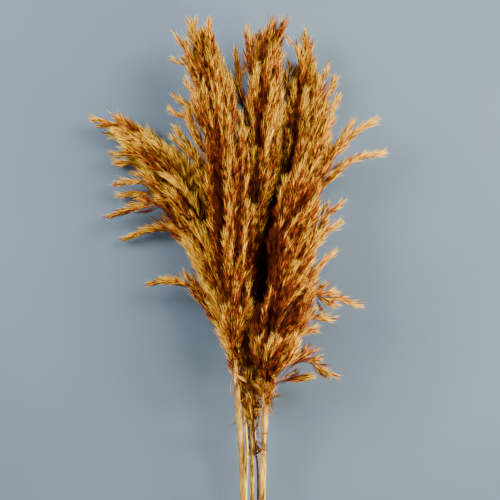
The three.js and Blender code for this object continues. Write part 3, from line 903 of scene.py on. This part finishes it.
rng = np.random.default_rng(7)
husks, bracts = [], []
for grass, (bract_count, husk_count, thread_count, hang) in NECKS.items():
    culm = culms[grass]
    count = bract_count + husk_count + thread_count
    start = culm["gone"][culm["foot"]]
    place = start + NECK_TOP - (hang + NECK_TOP) * rng.uniform(0, 1, count) ** 1.3
    middle, forward, side, up = (at_distance(place, culm["gone"], v)
                                 for v in (culm["path"], *across(culm["path"])))
    radius = np.interp(place, culm["gone"], culm["radius"])[:, None]
    # Most cling between the stems, to either side of each.
    angle = (rng.uniform(-0.4, 0.9, count) + rng.choice((0, np.pi - 0.5), count))[:, None]
    out = np.cos(angle) * side + np.sin(angle) * up
    round_it = np.sin(angle) * side - np.cos(angle) * up
    foot = middle + (radius + 0.0004) * out
    splay = rng.normal(0, 0.7, count)[:, None]
    lift = rng.uniform(0.05, 0.5, count)[:, None]
    up_or_down = rng.choice((1, 1, 1, -0.8), count)[:, None]
    pointing = unit(forward * up_or_down + splay * round_it + lift * out)
    b, h = bract_count, bract_count + husk_count
    bract_side = unit(np.cross(pointing[:b], out[:b]))
    bract_face = np.cross(bract_side, pointing[:b])
    bracts.append(curled_bracts(foot[:b], pointing[:b], bract_side, bract_face,
                                rng.uniform(*BRACT_LENGTHS, b), rng.uniform(*BRACT_WIDTHS, b),
                                rng.uniform(-0.2, 0.5, b)))
    size, bend = rng.uniform(0.60, 1.20, husk_count), rng.normal(0, 0.3, husk_count)
    tone = rng.normal(0.34, 0.22, husk_count)
    husks.append(set_spikelets(foot[b:h], pointing[b:h], size, bend, tone, rng))
    t = np.linspace(0, 1, 7)[None, :, None]
    threads = (foot[h:, None] + THREAD_LENGTH * t * pointing[h:, None]
               + 0.010 * t**2 * round_it[h:, None])
    husks.append(thin_stalks(threads, THREAD_RADIUS, np.full(thread_count, 0.95)))
vertices, faces, uv = joined(husks)
piece = new_piece("loose_husks", vertices, faces, dyed_plume, uv)
# The foot of a dark brown leaf, torn to curled strips, still hangs at the dark brown stem's side.
culm = culms["upper_right"]
place = REMNANT_UP + rng.uniform(-0.012, 0.010, REMNANT_STRIPS)
middle, forward, side, up = (at_distance(place, culm["gone"], v)
                             for v in (culm["path"], *across(culm["path"])))
angle = rng.uniform(0.6, np.pi + 0.6, REMNANT_STRIPS)[:, None]
out = np.cos(angle) * side + np.sin(angle) * up
foot = middle + (np.interp(place, culm["gone"], culm["radius"])[:, None] + 0.0003) * out
turned = rng.choice((1, -1), REMNANT_STRIPS)[:, None]
splay = rng.normal(0, 0.6, REMNANT_STRIPS)[:, None]
pointing = unit(turned * forward + 0.7 * out + splay * np.cross(out, forward))
strip_side = unit(np.cross(pointing, out))
sheet, faces = curled_bracts(foot, pointing, strip_side, np.cross(strip_side, pointing),
                             rng.uniform(*BRACT_LENGTHS, REMNANT_STRIPS),
                             rng.uniform(*STRIP_WIDTHS, REMNANT_STRIPS),
                             rng.uniform(-0.5, 0.9, REMNANT_STRIPS))
piece = new_piece("torn_leaf_foot", sheet, faces, dark_brown_leaf)
thickened(piece)
piece = new_piece("dry_bracts", *joined(bracts), sheath_leaf)
thickened(piece)

# ---------------------------------------------------------------- floor, light and camera
# A seamless sheet of pale blue-grey board under large soft lamps, seen from straight above.
VIEW = 0.5  # how wide the view is at the plumes
VIEW_ASIDE = 0.0127  # from the bundle's middle to the view's
VIEW_ABOVE = 0.0175  # from the plumes' tips to the view's edge
LENS_MM = 180.0
SENSOR_MM = 36.0
BOARD_CLOUD_MM = 330.0  # how broad the board's faint clouds are
BOARD_HALF = 6.0
WORLD_LIGHT = 0.36
MIDDLE_HEIGHT = 0.045  # of the plumes
low, high = cad_box
distance = VIEW / SENSOR_MM * LENS_MM

board, tree, shader = new_material("matt painted board")
place = add(tree, "ShaderNodeTexCoord").outputs["Object"]
cloud = add(tree, "ShaderNodeTexNoise", [("Vector", place)],
            Scale=1000 / BOARD_CLOUD_MM, Detail=2.0)
paint = ramp(tree, cloud.outputs["Fac"], [(0.3, "#52657B"), (0.7, "#5C7086")])
tree.links.new(paint, shader.inputs["Base Color"])
shader.inputs["Roughness"].default_value = 0.9
ground = bpy.data.meshes.new("ground")
corners = [(-1, -1), (1, -1), (1, 1), (-1, 1)]
ground.from_pydata([(BOARD_HALF * x, BOARD_HALF * y, 0) for x, y in corners], [], [(0, 1, 2, 3)])
ground.materials.append(board)
floor = bpy.data.objects.new("ground", ground)
bpy.context.scene.collection.objects.link(floor)

# The view shows the plumes whole, and the stems from a little below them.
centre = Vector(((low[0] + high[0]) / 2 + VIEW_ASIDE, high[1] + VIEW_ABOVE - VIEW / 2,
                 MIDDLE_HEIGHT))
camera_data = bpy.data.cameras.new("view")
camera_data.lens = LENS_MM
camera_data.sensor_width = SENSOR_MM
camera_data.clip_end = 20
camera = bpy.data.objects.new("view", camera_data)
camera.location = centre + Vector((0, 0, distance))
bpy.context.scene.collection.objects.link(camera)
bpy.context.scene.camera = camera


def soft_lamp(name, place, size, watts, colour, fan=np.pi):
    """A square area lamp that faces the middle of the plumes. fan is the angle that its light
    spreads over, in radians."""
    data = bpy.data.lights.new(name, "AREA")
    data.size = size
    data.energy = watts
    data.color = linear(colour)[:3]
    data.spread = fan
    lamp = bpy.data.objects.new(name, data)
    lamp.location = centre + Vector(place)
    lamp.rotation_euler = (centre - lamp.location).to_track_quat("-Z", "Y").to_euler()
    bpy.context.scene.collection.objects.link(lamp)


soft_lamp("key", (0.85, 0.75, 1.00), 0.80, 52, "#FFF4E2")
soft_lamp("second", (-0.95, 0.60, 0.90), 0.70, 38, "#FFF6E8")
# A grid over the low lamp keeps its light off the floor beneath it.
soft_lamp("low", (1.20, -0.20, 0.42), 0.36, 8.5, "#FFEFCE", fan=np.pi / 2)
world = bpy.data.worlds.new("studio")
world.use_nodes = True
world.node_tree.nodes["Background"].inputs["Color"].default_value = linear("#F2EEEA")
world.node_tree.nodes["Background"].inputs["Strength"].default_value = WORLD_LIGHT
bpy.context.scene.world = world
